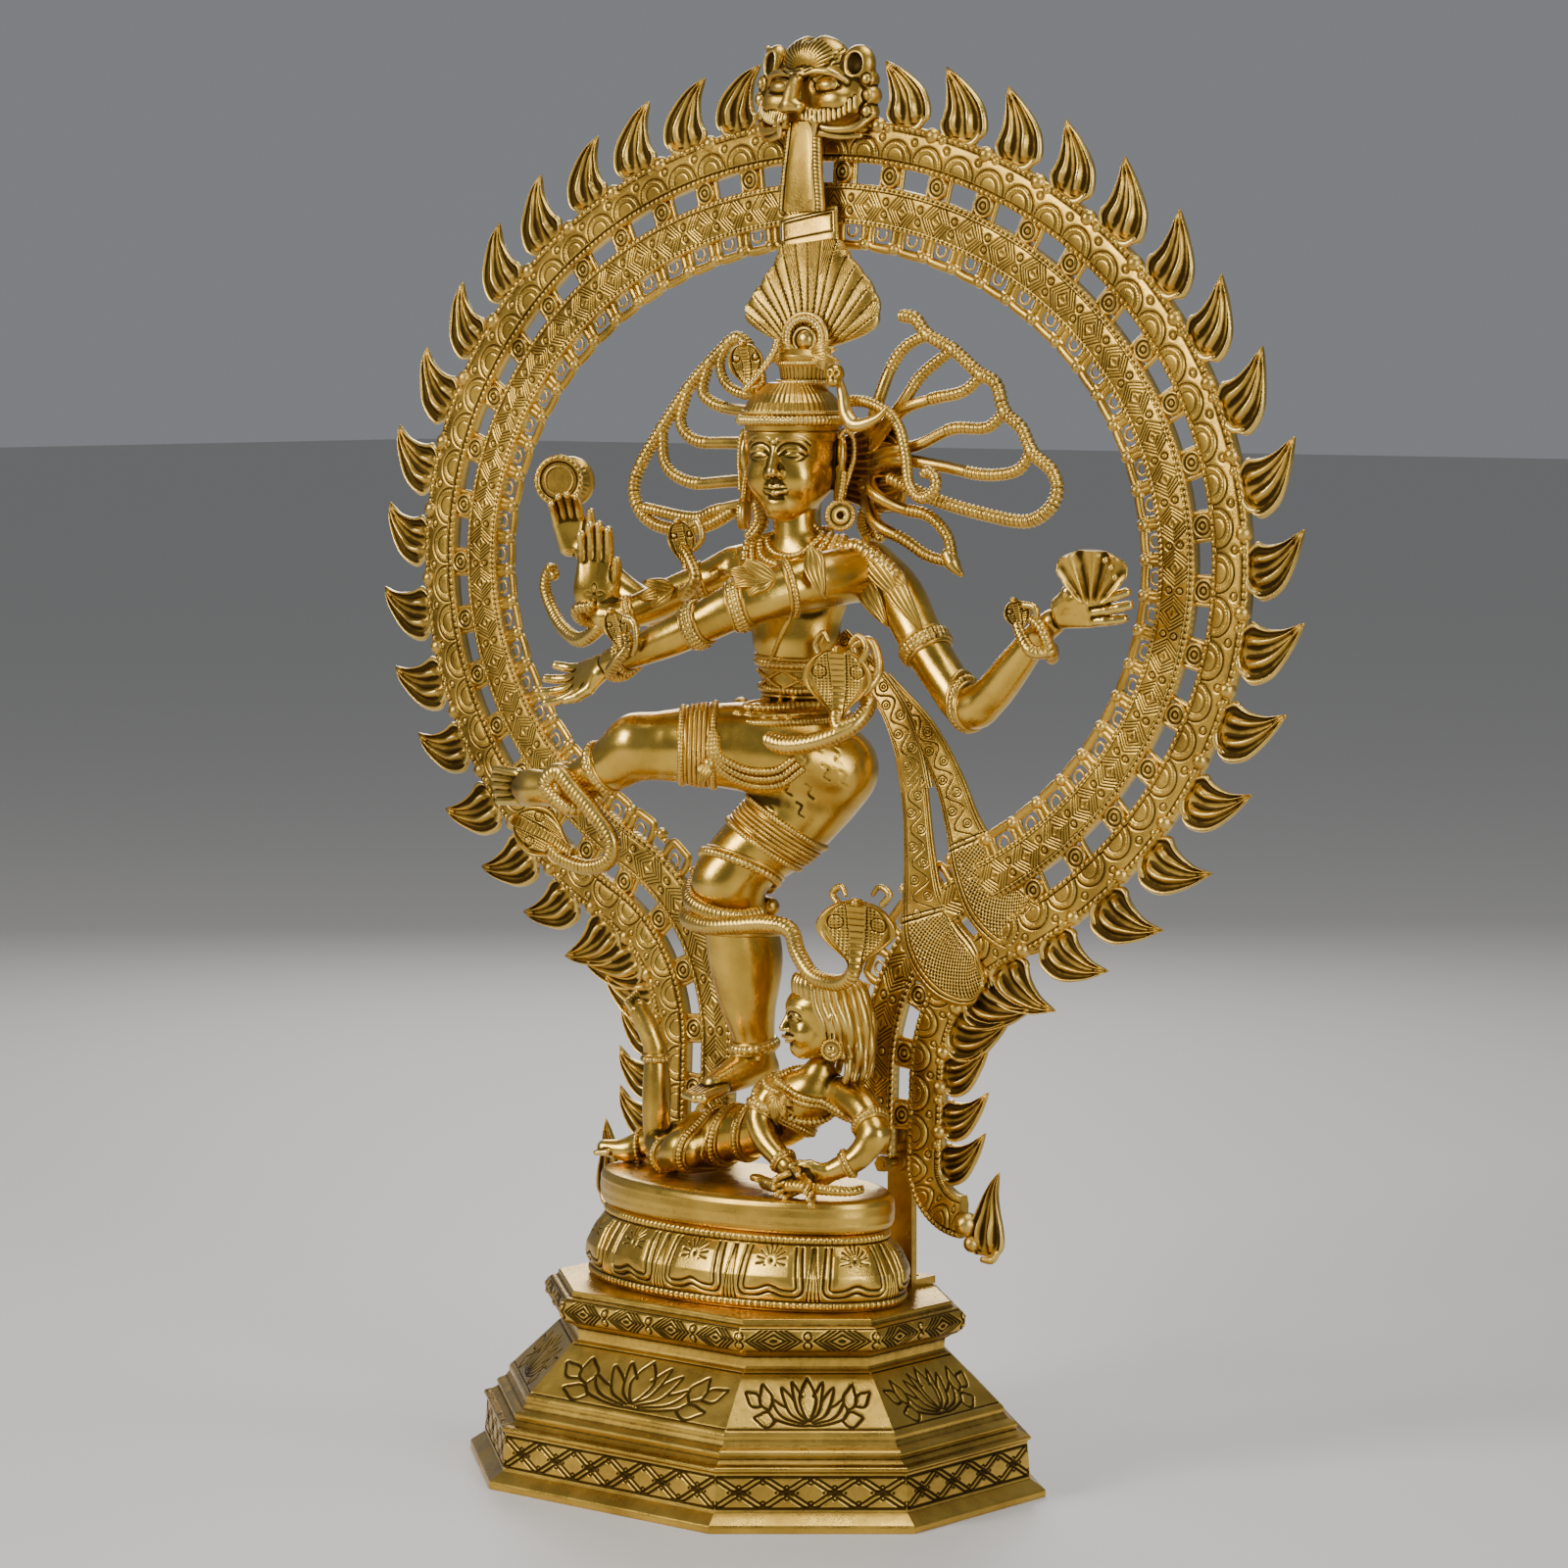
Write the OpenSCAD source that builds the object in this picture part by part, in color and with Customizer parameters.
// Dancing figure in a ring of flames, an assembly of brass castings.
// Frame: millimetres, +Z up, front towards -Y, origin in the middle of the base underside.

/* [Pedestal] */
// Half width of the octagonal foot
foot_hw = 187; // [170:1:205]
// Half depth of the octagonal foot
foot_hd = 146; // [130:1:160]
// Half length of the foot's front edge
foot_front = 92; // [80:1:100]
// Half length of the foot's side edge
foot_side = 65; // [55:1:72]
// Height of the pedestal's top plate
pedestal_h = 121; // [118:1:124]
// Wall of the hollow pedestal casting
wall = 4; // [3:0.5:6]

/* [Lotus and plinth] */
// Half width of the lotus drum at its widest
lotus_hw = 124; // [118:1:128]
// Half depth of the lotus drum at its widest
lotus_hd = 71; // [66:1:74]
// Height of the lotus drum
lotus_h = 47; // [44:1:50]
// Half width of the plinth plate
plinth_hw = 114; // [108:1:116]
// Half depth of the plinth plate
plinth_hd = 60; // [56:1:62]
// Thickness of the plinth plate
plinth_t = 22; // [18:1:24]
// How far drum and plinth sit in front of the base centre
plinth_fwd = 6; // [4:1:8]

/* [Flame arch] */
// Half width of the arch at its ring line
arch_rx = 310; // [300:1:318]
// Half height of the arch at its ring line
arch_rz = 248; // [240:1:252]
// Height of the arch's centre
arch_zc = 580; // [575:1:585]
// Distance of the arch's centre behind the base centre
arch_y = 59; // [57:1:62]
// Lean of the arch away from the front, in degrees
arch_lean = 2.2; // [1.8:0.1:2.4]
// Where the round part of the arch turns into its legs, in degrees from the crown
arch_end = 150; // [146:1:152]
// Radius of the turn into the legs
turn_r = 115; // [108:1:118]
// Thickness of the two bands
band_t = 10; // [8:1:12]
// Distance between ring spacers along the ring line
ring_pitch = 39; // [36:1:42]
// Number of flame leaves on each side of the round part
flames = 19; // [17:1:20]
// Length of a flame leaf from foot to tip
flame_l = 46; // [42:1:48]

/* [Figure] */
// Radius of the standing leg at the thigh
thigh_r = 29; // [26:1:31]
// Radius of the raised leg at the thigh
raised_r = 26; // [24:1:28]
// Radius of an upper arm
arm_r = 15; // [13:1:17]
// Radius of a snake's body
snake_r = 5; // [4:0.5:6]
// Radius of one lock of hair
lock_r = 4.2; // [3.5:0.1:5]

/* [Hidden] */
$fn = 48;
brass = "darkgoldenrod";
old_brass = "peru";
polished = "gold";
foot_t = 5;
front_mitre = 0.368;        // how much the front edge shortens for each mm of inset
side_mitre = 0.462;         // the same for the side edge
lotus_z = pedestal_h;
plinth_z = lotus_z + lotus_h;
stage_z = plinth_z + plinth_t;
stud_x = 62;
stud_y = 22;
stud_d = 8;
bracket_x = 76;
bracket_w = 20;
bracket_t = 5;
bracket_y = 56;
bracket_top = 232;
bolt_d = 6;
rope_r = 2.2;
outer_lo = 10;              // the outer band runs from this far outside the ring line
outer_hi = 28;
inner_lo = -31;             // the inner band runs from this far inside it
inner_hi = -10;
leg_end_z = 205;            // the straight legs stop here
foot_curl_r = 50;           // and the outer band curls out around this radius
foot_curl = 90;

// ---------- the arch's centre line, as a path in the arch's own plane ----------
turn_in = atan2(arch_rz * sin(arch_end), -arch_rx * cos(arch_end));
arc_start = [arch_rx * sin(arch_end), arch_rz * cos(arch_end)];
leg_top = arc_start - turn_r * [1 - sin(turn_in), cos(turn_in)];
leg_l = leg_top.y - (leg_end_z - arch_zc);
q_leg = arch_end + 90 - turn_in;
q_curl = q_leg + leg_l;
// Point at path parameter q: degrees around the oval, degrees round the turn, then mm down the leg
function path(q) =
    q <= arch_end ? [arch_rx * sin(q), arch_rz * cos(q)]
    : q <= q_leg ? let (b = turn_in + q - arch_end)
        arc_start - turn_r * [sin(b) - sin(turn_in), cos(turn_in) - cos(b)]
    : q <= q_curl ? leg_top - [0, q - q_leg]
    : let (b = q - q_curl) leg_top + [foot_curl_r * (1 - cos(b)), -leg_l - foot_curl_r * sin(b)];
// Direction of travel at q, and the normal that points out of the arch
function heading(q) =
    q <= arch_end ? let (v = [arch_rx * cos(q), -arch_rz * sin(q)]) v / norm(v)
    : q <= q_leg ? let (b = turn_in + q - arch_end) [-cos(b), -sin(b)]
    : q <= q_curl ? [0, -1]
    : let (b = q - q_curl) [sin(b), -cos(b)];
function outward(q) = [-heading(q).y, heading(q).x];
function at(q, off) = path(q) + off * outward(q);
q_step = 3;
q_end = q_curl + foot_curl;
lengths = [for (q = 0, s = 0; q <= q_end; s = s + norm(path(q + q_step) - path(q)), q = q + q_step) [s, q]];
function q_at(s) = lookup(s, lengths);
function s_at(q) = lookup(q, [for (row = lengths) [row.y, row.x]]);

// Stands what is drawn in the arch's plane upright at the back of the base, leaning back
module in_arch() translate([0, arch_y, arch_zc]) rotate([90 - arch_lean, 0, 0]) children();
module both_sides() { children(); mirror([1, 0, 0]) children(); }
// A flat strip along the path between two offsets
module strip(q0, q1, lo, hi, t, z = 0) {
    qs = [for (q = [q0 : q_step : q1 - 1]) q, q1];
    translate([0, 0, z - t / 2]) linear_extrude(t)
        polygon(concat([for (q = qs) at(q, hi)], [for (i = [len(qs) - 1 : -1 : 0]) at(qs[i], lo)]));
}

// ---------- helpers for the cast figures ----------
// A chain of balls joined by hulls; each point is [x, y, z, radius]
module limb(points, parts = 2, fn = 12) {
    $fn = fn;
    for (i = [0 : len(points) - 2], k = [0 : parts - 1]) hull() {
        a = points[i] + (points[i + 1] - points[i]) * k / parts;
        b = points[i] + (points[i + 1] - points[i]) * (k + 1) / parts;
        translate([a.x, a.y, a.z]) sphere(a[3]);
        translate([b.x, b.y, b.z]) sphere(b[3]);
    }
}
// A cobra's spread hood, flat towards the front, with the head at its top
module hood(p, w, h, t = 7) {
    $fn = 10;
    hull() {
        translate(p + [0, 0, h * 0.62]) scale([w / 2, t, h * 0.30]) sphere(1);
        translate(p) scale([w * 0.16, t, h * 0.12]) sphere(1);
    }
    hull() {
        translate(p + [0, 0, h * 0.90]) sphere(w * 0.13);
        translate(p + [0, -w * 0.28, h * 0.92]) sphere(w * 0.10);
    }
}
// A tube through listed points at one radius
module tube(points, r, parts = 1, fn = 6)
    limb([for (p = points) [p.x, p.y, p.z, r]], parts, fn);

// ---------- pedestal ----------
function oct(d) = let (x = foot_hw - d, y = foot_hd - d, a = foot_front - front_mitre * d, b = foot_side - side_mitre * d)
    [[a, -y], [x, -b], [x, b], [a, y], [-a, y], [-x, b], [-x, -b], [-a, -y]];
module tier(z0, d0, z1, d1) {
    lo = oct(d0);
    hi = oct(d1);
    polyhedron(
        points = concat([for (p = lo) [p.x, p.y, z0]], [for (p = hi) [p.x, p.y, z1]]),
        faces = concat([[for (i = [0 : 7]) i], [for (i = [7 : -1 : 0]) i + 8]],
            [for (i = [0 : 7]) let (j = (i + 1) % 8) [j, i, i + 8, j + 8]]));
}
// Inset of the pedestal's outline at each height, from the foot to the top plate
moulding = [[foot_t, 0], [11, 9], [35, 11], [38, 9], [42, 18], [47, 17], [53, 25], [58, 26],
    [88, 56], [91, 59], [98, 58], [101, 51], [108, 47], [115, 50], [117.5, 55], [pedestal_h, 55]];
module pedestal_base() color(brass) difference() {
    union() {
        linear_extrude(foot_t) polygon(oct(0));
        for (i = [0 : len(moulding) - 2])
            tier(moulding[i].x, moulding[i].y, moulding[i + 1].x, moulding[i + 1].y);
    }
    translate([0, 0, -1]) linear_extrude(foot_t + 5) polygon(oct(wall + 10));
    tier(foot_t + 3, wall + 10, 58, 26 + 2 * wall);
    tier(57.9, 26 + 2 * wall, 88, 60 + wall);
    tier(87.9, 60 + wall, pedestal_h - wall, 60 + wall);
    for (x = [-stud_x, stud_x]) translate([x, -plinth_fwd - stud_y, pedestal_h - wall - 5])
        cylinder(d = stud_d + 0.6, h = wall + 10);
}

// ---------- lotus drum and plinth ----------
module oval(profile, hw, hd) translate([0, -plinth_fwd, 0]) scale([1, hd / hw, 1])
    rotate_extrude($fn = 64) polygon(profile);
module lotus_drum() color(brass) difference() {
    oval([[0, lotus_z], [lotus_hw - 2, lotus_z], [lotus_hw, lotus_z + 5], [lotus_hw, lotus_z + 13],
        [lotus_hw - 3, lotus_z + 26], [lotus_hw - 9, lotus_z + 36], [lotus_hw - 12, lotus_z + 41],
        [lotus_hw - 11, plinth_z], [0, plinth_z]], lotus_hw, lotus_hd);
    oval([[0, lotus_z - 1], [lotus_hw - 14, lotus_z - 1], [lotus_hw - 14, lotus_z + 20],
        [lotus_hw - 22, plinth_z - 6], [0, plinth_z - 6]], lotus_hw, lotus_hd);
    for (x = [-stud_x, stud_x]) translate([x, -plinth_fwd - stud_y, plinth_z - 10])
        cylinder(d = stud_d + 0.6, h = 20);
}
module plinth_plate() color(brass) difference() {
    oval([[0, plinth_z], [plinth_hw - 5, plinth_z], [plinth_hw - 1, plinth_z + 4],
        [plinth_hw, plinth_z + 11], [plinth_hw - 1, stage_z - 4], [plinth_hw - 5, stage_z],
        [0, stage_z]], plinth_hw, plinth_hd);
    for (x = [-stud_x, stud_x]) translate([x, -plinth_fwd - stud_y, plinth_z - 1])
        cylinder(d = stud_d, h = 15);
}
module at_studs() for (x = [-stud_x, stud_x]) translate([x, -plinth_fwd - stud_y, 0]) children();
module base_studs() color("silver") at_studs()
    translate([0, 0, pedestal_h - 24]) cylinder(d = stud_d - 0.2, h = lotus_h + 24 + 13);
module base_washers() color("silver") at_studs()
    translate([0, 0, pedestal_h - wall - 1.6]) difference() {
        cylinder(d = 18, h = 1.6);
        translate([0, 0, -1]) cylinder(d = stud_d + 0.4, h = 4);
    }
module base_nuts() color("silver") at_studs()
    translate([0, 0, pedestal_h - wall - 1.7 - 6.5]) difference() {
        cylinder(d = 15, h = 6.5, $fn = 6);
        translate([0, 0, -1]) cylinder(d = stud_d, h = 9);
    }

// ---------- arch ----------
q_band_end = q_curl - 2;
module outer_band() in_arch() {
    strip(0, q_end, outer_lo, outer_hi, band_t);
    strip(0, q_end, outer_hi - 0.2, outer_hi + 2 * rope_r, band_t - 4);
    strip(0, q_band_end, outer_lo - 2 * rope_r, outer_lo + 0.2, band_t - 4);
}
module arch_outer_band_right() color(brass) outer_band();
module arch_outer_band_left() color(brass) mirror([1, 0, 0]) outer_band();
module inner_band() in_arch() {
    strip(0, q_band_end, inner_lo, inner_hi, band_t);
    strip(0, q_band_end, inner_hi - 0.2, inner_hi + rope_r, band_t - 4);
    strip(0, q_band_end, inner_lo - rope_r, inner_lo + 0.2, band_t - 4);
}
module arch_inner_band_right() color(brass) inner_band();
module arch_inner_band_left() color(brass) mirror([1, 0, 0]) inner_band();
rings = floor((s_at(q_band_end) - 12) / ring_pitch);
module arch_ring_spacers() color(old_brass) both_sides() in_arch() for (i = [0 : rings]) {
    p = path(q_at((i + 0.5) * ring_pitch));
    translate([p.x, p.y, -3]) cylinder(r = 7.6, h = 6, $fn = 24);
}
// Square loops that hang on the inner band, with a ball where two of them meet
loop_pitch = 27.5;
loop_w = 19;
loop_h = 15.5;
loop_bar = 4.2;
loops = floor((s_at(q_leg) + 10) / loop_pitch);
module arch_inner_loops() color(old_brass) both_sides() in_arch() for (i = [1 : loops]) {
    q = q_at((i + 0.1) * loop_pitch);
    p = at(q, inner_lo - rope_r + 0.3);
    translate([p.x, p.y, -2.5]) rotate(atan2(outward(q).y, outward(q).x) + 90) linear_extrude(5)
        polygon([[-loop_w / 2, 0], [-loop_w / 2, loop_h], [loop_w / 2, loop_h], [loop_w / 2, 0],
            [loop_w / 2 - loop_bar, 0], [loop_w / 2 - loop_bar, loop_h - loop_bar],
            [-loop_w / 2 + loop_bar, loop_h - loop_bar], [-loop_w / 2 + loop_bar, 0]]);
}
// One flame leaf: foot at the origin, a pointed blade along +Y that curls to one side
leaf_steps = 8;
function leaf_edge(t, l, w, side) = [w * (0.5 * side * pow(sin(180 * pow(t, 0.62)), 0.8) + 0.10 * sin(180 * t)), l * t];
module leaf(l, w) translate([0, 0, -3.5]) linear_extrude(7) polygon(concat(
    [for (i = [0 : leaf_steps]) leaf_edge(i / leaf_steps, l, w, 1)],
    [for (i = [leaf_steps - 1 : -1 : 1]) leaf_edge(i / leaf_steps, l, w, -1)]));
first_flame = 66;           // arc length of the first flame's foot from the crown
flame_pitch = (s_at(q_leg) - first_flame) / flames;
leg_flames = 3;
leg_flame_pitch = 28;
function flame_s(i) = i < flames ? first_flame + i * flame_pitch
    : first_flame + flames * flame_pitch + (i - flames) * leg_flame_pitch;
module at_flames() for (i = [0 : flames + leg_flames - 1]) {
    q = q_at(flame_s(i));
    p = at(q, outer_hi + 2 * rope_r - 1);
    lean = i < flames ? 22 : 20;
    translate([p.x, p.y, 0]) rotate(atan2(outward(q).y, outward(q).x) - 90 + lean) children();
}
module flame_row() in_arch() {
    at_flames() leaf(flame_l + 4, 27);
    last = at(q_end, outer_lo);
    translate([last.x + 14, last.y - 12, 0]) rotate(-14) leaf(flame_l + 6, 30);
}
module flames_right() color(polished) flame_row();
module flames_left() color(polished) mirror([1, 0, 0]) flame_row();
module flame_balls() color(polished) both_sides() in_arch() at_flames()
    translate([-11, 3, 1.5]) sphere(5, $fn = 16);

// ---------- crown of the arch ----------
mask_y = arch_y + 300 * tan(arch_lean);
module lion_mask() color(polished) {
    translate([0, mask_y, 0]) {
        limb([[0, -2, 862, 30], [0, -6, 876, 31], [0, -2, 890, 24]], 2);
        for (s = [-1, 1]) {
            limb([[s * 20, -4, 866, 18], [s * 26, -6, 850, 14], [s * 12, -12, 846, 12]], 1);
            limb([[s * 27, -2, 884, 12], [s * 33, 0, 896, 11], [s * 34, 0, 903, 8]], 1);
            limb([[s * 16, -28, 880, 8], [s * 17, -30, 880, 7]], 1, 10);
        }
        limb([[0, -30, 880, 6], [0, -36, 862, 9], [0, -30, 850, 8]], 1);
        limb([[0, -4, 896, 18], [0, -2, 904, 10]], 1);
    }
}
module tongue_plate() color(polished) translate([0, arch_y + 245 * tan(arch_lean) - 12, 0]) hull() {
    translate([-12, -3, 846]) cube([24, 6, 2]);
    translate([-16, -5, 804]) cube([32, 6, 2]);
}
module crown_strap() color(brass) hull() {
    translate([-24, arch_y + 3, 796]) cube([48, 7, 3]);
    translate([-12, arch_y - 21, 756]) cube([46, 7, 2]);
}

// ---------- rear brackets ----------
module bracket() difference() {
    union() {
        translate([bracket_x - bracket_w / 2, bracket_y, pedestal_h])
            cube([bracket_w, bracket_t, bracket_top - pedestal_h]);
        translate([bracket_x - bracket_w / 2, bracket_y, pedestal_h]) cube([bracket_w, 24, bracket_t]);
        for (z = [bracket_top - 12, bracket_top - 30])
            translate([bracket_x, bracket_y + 0.1, z]) rotate([90, 0, 0]) cylinder(d = 14, h = 5);
    }
    for (z = [bracket_top - 12, bracket_top - 30])
        translate([bracket_x, bracket_y + 20, z]) rotate([90, 0, 0]) cylinder(d = bolt_d + 0.4, h = 40);
    translate([bracket_x, bracket_y + 15, pedestal_h - 1]) cylinder(d = bolt_d + 0.4, h = 10);
}
module arch_bracket_right() color(old_brass) bracket();
module arch_bracket_left() color(old_brass) mirror([1, 0, 0]) bracket();
module at_bracket_bolts() both_sides() for (z = [bracket_top - 12, bracket_top - 30])
    translate([bracket_x, bracket_y + bracket_t, z]) rotate([90, 0, 0]) children();
module bracket_bolts() color("silver") at_bracket_bolts() {
    translate([0, 0, -4]) cylinder(d = 11, h = 4, $fn = 6);
    translate([0, 0, -0.1]) cylinder(d = bolt_d, h = 25);
}
module bracket_nuts() color("silver") at_bracket_bolts() translate([0, 0, 19.5]) difference() {
    cylinder(d = 11, h = 4.5, $fn = 6);
    translate([0, 0, -1]) cylinder(d = bolt_d + 0.1, h = 7);
}

// ---------- the dancing figure ----------
module torso() color(polished) limb([
    [16, 30, 598, 15], [16, 30, 584, 18], [14, 28, 566, 30], [15, 27, 545, 31], [16, 28, 522, 26],
    [18, 29, 503, 24], [22, 27, 486, 29], [30, 24, 468, 33], [34, 26, 452, 31]], 1, 18);
module head() color(polished) {
    limb([[13, 30, 610, 15], [9, 27, 624, 23], [8, 28, 640, 28], [8, 30, 655, 31]], 1, 18);
    limb([[8, 32, 668, 34], [9, 34, 684, 30], [9, 35, 698, 19], [9, 35, 722, 15]], 1, 18);
    limb([[2, 2, 640, 5], [1, -3, 633, 5]], 1, 10);
}
module standing_leg() color(polished) limb([
    [38, 26, 442, thigh_r + 2], [22, 14, 420, thigh_r], [4, -1, 398, thigh_r - 4],
    [-9, -11, 380, thigh_r - 7], [-8, -6, 362, thigh_r - 9], [-6, 2, 335, thigh_r - 6],
    [-6, 8, 300, thigh_r - 10], [-7, 14, 268, 13], [-9, 10, 254, 12], [-10, -14, 249, 10],
    [-11, -42, 245, 6]], 1, 16);
module raised_leg() color(polished) limb([
    [44, 18, 458, raised_r + 4], [20, 0, 464, raised_r + 2], [-8, -22, 465, raised_r],
    [-40, -50, 467, raised_r - 6], [-52, -56, 462, raised_r - 9], [-72, -62, 452, 14],
    [-94, -66, 442, 10], [-108, -68, 438, 12], [-130, -70, 436, 9], [-158, -72, 437, 5]], 1, 16);
module arm_front_left() color(polished) limb([
    [60, 36, 574, arm_r + 4], [54, 6, 572, arm_r + 3], [38, -24, 564, arm_r + 1],
    [22, -44, 555, arm_r - 1], [4, -52, 545, arm_r - 2], [-22, -58, 534, arm_r - 3],
    [-50, -61, 524, arm_r - 6], [-66, -62, 517, 10], [-84, -62, 509, 9], [-104, -62, 503, 6],
    [-118, -62, 496, 4]], 1, 14);
module arm_front_right() color(polished) limb([
    [-34, 26, 574, arm_r + 2], [-52, 18, 566, arm_r - 1], [-66, 8, 558, arm_r - 3],
    [-84, -4, 549, arm_r - 5], [-98, -14, 544, 9], [-107, -18, 548, 9], [-113, -22, 560, 12],
    [-113, -24, 576, 12], [-112, -25, 592, 8], [-111, -26, 607, 4]], 1, 14);
module arm_back_left() color(polished) limb([
    [64, 44, 578, arm_r + 5], [84, 44, 562, arm_r + 4], [106, 40, 535, arm_r + 1],
    [128, 37, 510, arm_r - 1], [148, 34, 494, arm_r - 1], [168, 30, 503, arm_r - 3],
    [190, 25, 522, arm_r - 4], [213, 20, 543, 9], [230, 16, 551, 10], [250, 12, 558, 13],
    [270, 12, 563, 8], [292, 14, 564, 4]], 1, 14);
module arm_back_right() color(polished) limb([
    [-34, 46, 572, arm_r], [-70, 48, 560, arm_r - 1], [-104, 46, 549, arm_r - 2],
    [-124, 44, 546, arm_r - 2], [-144, 40, 556, arm_r - 4], [-166, 36, 576, 9],
    [-182, 32, 591, 10], [-186, 28, 603, 9], [-186, 26, 612, 6]], 1, 14);
module hand_drum() color(brass) translate([-188, 24, 632]) rotate([0, 0, 28]) rotate([90, 0, 0])
    rotate_extrude($fn = 40) polygon([[0, -15], [16, -15], [17, -13], [9, 0], [17, 13], [16, 15], [0, 15]]);
module hand_flame() color(brass) translate([262, 6, 566]) rotate([0, 0, 30]) {
    hull() {
        translate([0, 0, 2]) rotate([90, 0, 0]) cylinder(r = 8, h = 6, $fn = 24);
        translate([2, 0, 18]) rotate([90, 0, 0]) cylinder(r = 17, h = 6, $fn = 32);
    }
}
module peacock_crest() color(brass) hull() {
    translate([14, 43, 739]) rotate([90, 0, 0]) cylinder(r = 44, h = 8, $fn = 40);
    translate([14, 41, 714]) rotate([90, 0, 0]) cylinder(r = 18, h = 12, $fn = 32);
    translate([10, 46, 770]) rotate([90, 0, 0]) cylinder(r = 22, h = 7, $fn = 32);
}
// Locks of hair fan out from behind the head, each a loop out and back
module lock(root, tip, bow) {
    mid = (root + tip) / 2;
    side = bow * [-(tip - root).z, 0, (tip - root).x] / norm(tip - root);
    tube([root, mid + side, tip + side * 0.8, tip, tip - side * 0.8, mid - side, root], lock_r, 1, 6);
}
module hair_fan_left() color(brass) for (i = [0 : 4]) {
    a = 112 + i * 21;
    l = [92, 100, 108, 112, 106][i];
    lock([-14, 46, 642], [-14 + l * cos(a) * 1.18, 52, 640 + l * sin(a) * 0.85], 9);
}
module hair_fan_right() color(brass) {
    for (i = [0 : 5]) {
        a = 62 - i * 17;
        l = [112, 122, 136, 146, 154, 150][i];
        lock([36, 48, 640], [36 + l * cos(a) * 1.08, 54, 634 + l * sin(a) * 0.92], 9);
    }
    tube([[40, 46, 620], [70, 50, 606], [96, 52, 604], [112, 52, 592], [124, 50, 582]], 6, 1, 8);
}
module ear_rings() color(brass) {
    translate([45, 38, 611]) rotate([90, 0, 70]) difference() {
        cylinder(r = 10, h = 6, center = true);
        cylinder(r = 2.5, h = 8, center = true);
    }
    translate([-24, 14, 612]) rotate([90, 0, -30]) difference() {
        cylinder(r = 8, h = 6, center = true);
        cylinder(r = 2.5, h = 8, center = true);
    }
}
module sash() color(brass) {
    limb([[52, 48, 520, 9], [66, 50, 496, 9], [88, 50, 466, 8], [104, 50, 446, 9]], 1, 8);
    limb([[98, 50, 448, 8], [94, 50, 410, 9], [97, 46, 372, 12], [112, 40, 350, 13]], 1, 8);
    hull() {
        translate([100, 44, 360]) rotate([90, 0, 0]) cylinder(r = 13, h = 6);
        translate([104, 44, 322]) rotate([90, 0, 0]) cylinder(r = 5, h = 6);
        translate([162, 40, 320]) rotate([90, 0, 0]) cylinder(r = 5, h = 6);
    }
    limb([[108, 52, 450, 8], [126, 54, 426, 9], [146, 54, 400, 12]], 1, 8);
    hull() {
        translate([148, 54, 404]) rotate([90, 0, 0]) cylinder(r = 12, h = 6);
        translate([162, 50, 348]) rotate([90, 0, 0]) cylinder(r = 5, h = 6);
        translate([202, 50, 368]) rotate([90, 0, 0]) cylinder(r = 5, h = 6);
    }
}
module waist_cobra() color(brass) {
    tube([[2, -6, 478], [10, -14, 470], [30, -16, 464], [52, -10, 466], [64, 0, 476],
        [72, -2, 490]], snake_r, 1);
    tube([[50, 24, 522], [64, 22, 528], [76, 16, 524], [78, 8, 514]], snake_r - 1, 1);
    hood([76, -4, 488], 34, 48);
}
module knee_cobra() color(brass) {
    tube([[-34, -8, 392], [-30, -26, 386], [-12, -36, 380], [10, -30, 374], [18, -14, 378]], snake_r, 1);
    tube([[-36, -4, 374], [-28, -26, 368], [-8, -32, 362], [20, -30, 364], [52, -28, 362],
        [72, -28, 350], [88, -30, 334], [102, -32, 332], [110, -34, 342]], snake_r, 1);
    hood([112, -34, 336], 40, 50);
}
module ankle_cobra() color(brass) {
    tube([[-70, -82, 452], [-76, -84, 440], [-68, -78, 430], [-58, -70, 420], [-56, -66, 404],
        [-68, -68, 392], [-88, -72, 388]], snake_r, 1);
    hull() {
        translate([-78, -74, 398]) scale([12, 6, 12]) sphere(1, $fn = 14);
        translate([-112, -76, 410]) scale([14, 6, 12]) sphere(1, $fn = 14);
    }
    tube([[-116, -78, 408], [-130, -80, 416]], 6, 2);
}
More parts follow.
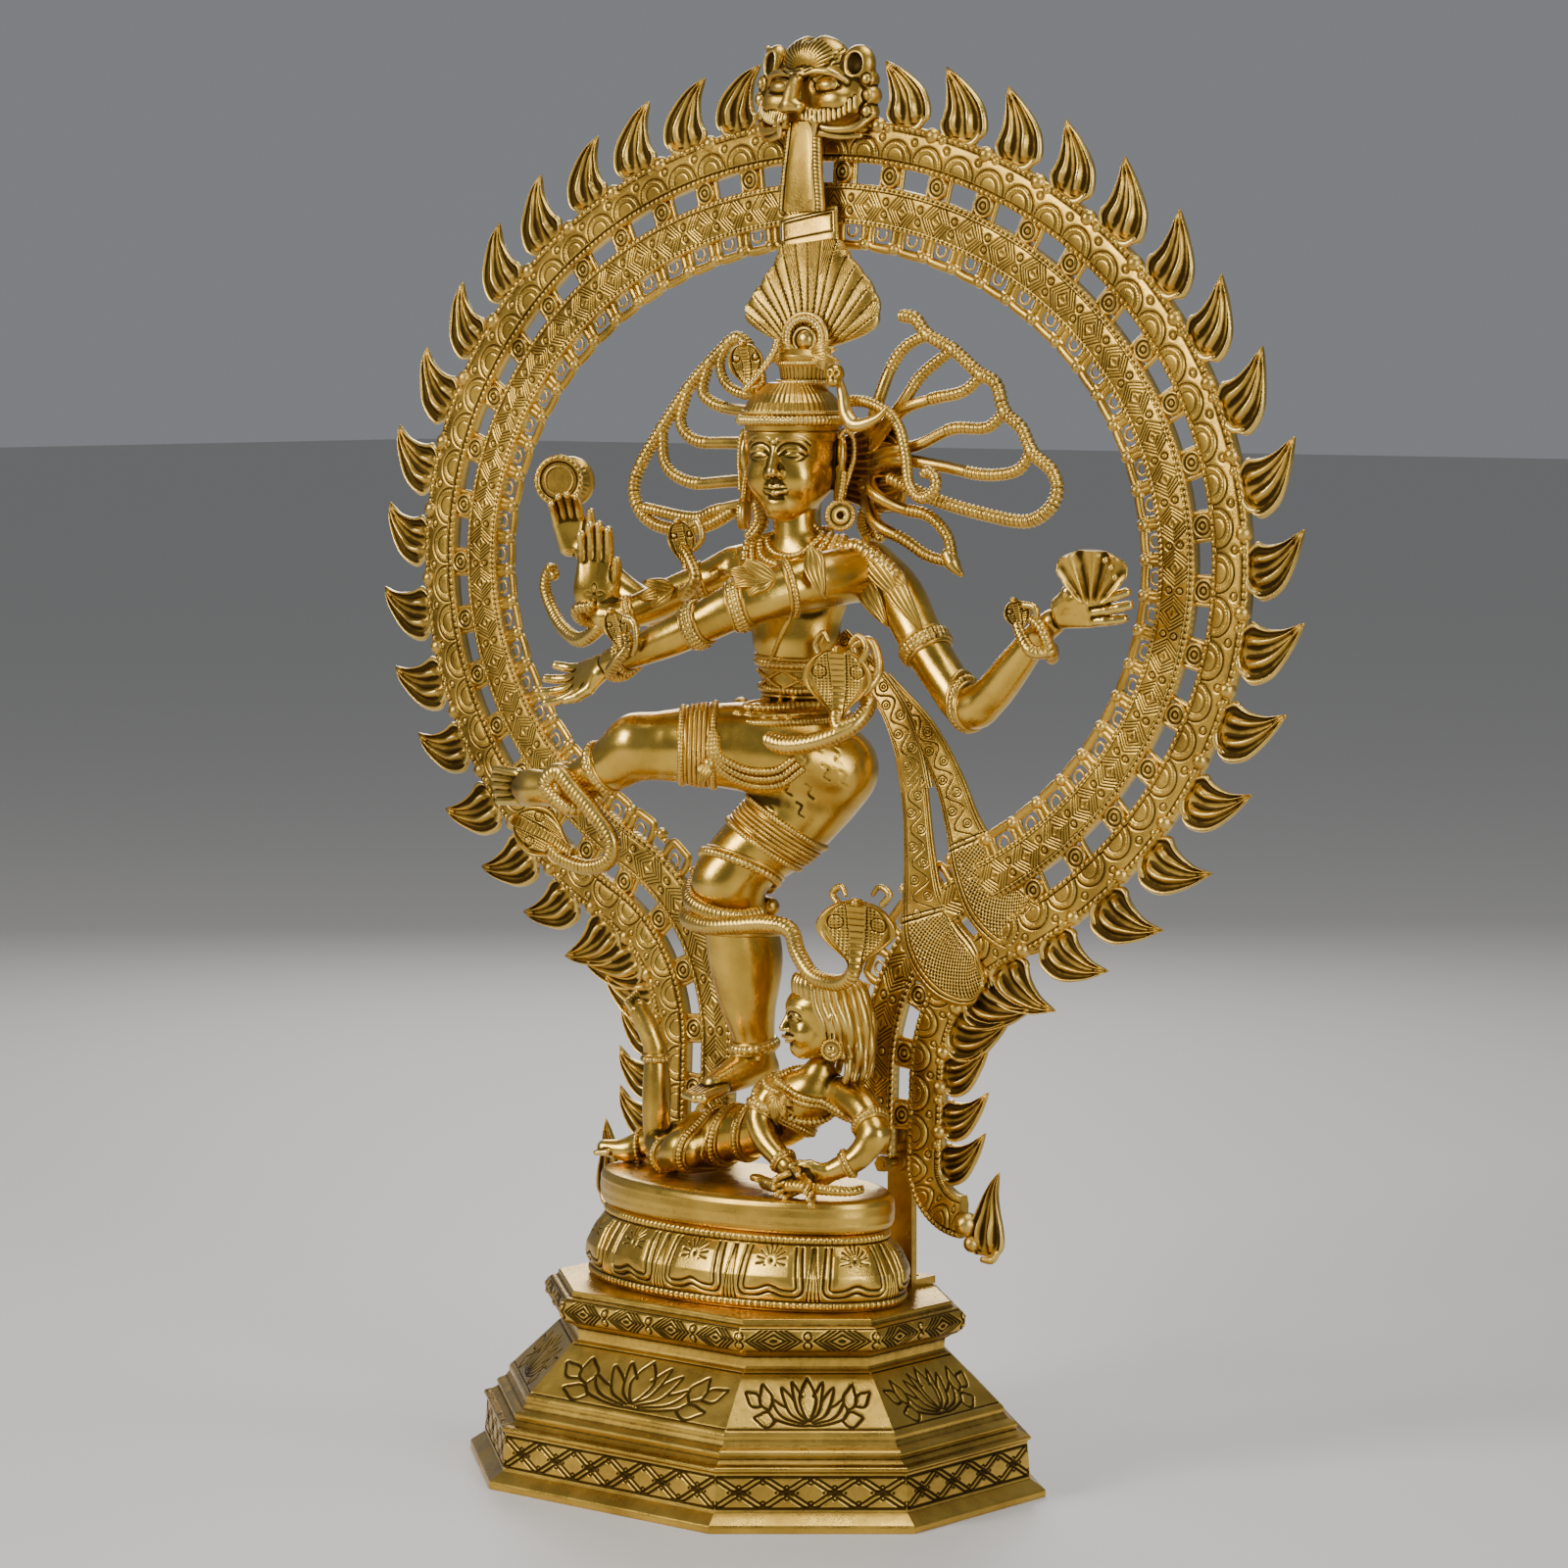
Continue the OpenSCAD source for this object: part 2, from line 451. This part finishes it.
module arm_cobras() color(brass) {
    tube([[-52, 0, 560], [-46, -12, 572], [-42, -14, 588], [-44, -14, 600]], snake_r, 1);
    hood([-44, -14, 586], 22, 30, 5);
    tube([[-126, -8, 602], [-136, -4, 584], [-138, -4, 564], [-128, -10, 546], [-112, -16, 536]], snake_r, 2);
    tube([[-44, -74, 538], [-48, -76, 520], [-56, -74, 510], [-66, -72, 516]], snake_r - 1, 1);
    hood([-58, -76, 534], 18, 26, 5);
    tube([[206, 10, 536], [216, 8, 532], [226, 10, 536]], snake_r, 1);
    hood([204, 8, 542], 22, 28, 5);
}

// ---------- the dwarf under the standing foot ----------
module dwarf_body() color(brass) {
    limb([[56, -2, 250, 17], [42, -4, 238, 20], [18, -4, 226, 18], [-8, -4, 220, 18],
        [-34, -4, 214, 19]], 1, 16);
    limb([[-34, -14, 212, 17], [-28, -32, 204, 13], [-46, -20, 200, 10], [-72, -8, 202, 10],
        [-78, -6, 232, 10], [-80, -6, 262, 9], [-82, -6, 284, 8], [-86, -12, 300, 5]], 1, 12);
    limb([[-36, 8, 212, 15], [-66, 6, 204, 11], [-92, 0, 202, 9], [-104, -6, 206, 6]], 1, 12);
}
module dwarf_head() color(brass) {
    limb([[58, -2, 262, 11], [62, -6, 276, 16], [64, -4, 290, 20], [66, -2, 298, 18]], 1, 16);
    limb([[76, 4, 296, 13], [84, 8, 280, 12], [88, 10, 262, 12], [86, 10, 250, 9]], 1, 12);
}
module dwarf_arms() color(brass) {
    limb([[36, -18, 246, 11], [42, -26, 226, 9], [52, -32, 206, 8], [68, -36, 200, 7],
        [82, -36, 198, 8]], 2, 12);
    limb([[80, 2, 248, 13], [96, 2, 230, 12], [100, -6, 210, 10], [90, -26, 200, 9]], 1, 12);
}

pedestal_base();
lotus_drum();
plinth_plate();
base_studs();
base_washers();
base_nuts();
arch_outer_band_left();
arch_outer_band_right();
arch_inner_band_left();
arch_inner_band_right();
arch_ring_spacers();
arch_inner_loops();
flames_left();
flames_right();
flame_balls();
lion_mask();
tongue_plate();
crown_strap();
arch_bracket_left();
arch_bracket_right();
bracket_bolts();
bracket_nuts();
torso();
head();
peacock_crest();
hair_fan_left();
hair_fan_right();
ear_rings();
standing_leg();
raised_leg();
arm_front_left();
arm_front_right();
arm_back_left();
arm_back_right();
hand_drum();
hand_flame();
sash();
waist_cobra();
knee_cobra();
ankle_cobra();
arm_cobras();
dwarf_body();
dwarf_head();
dwarf_arms();
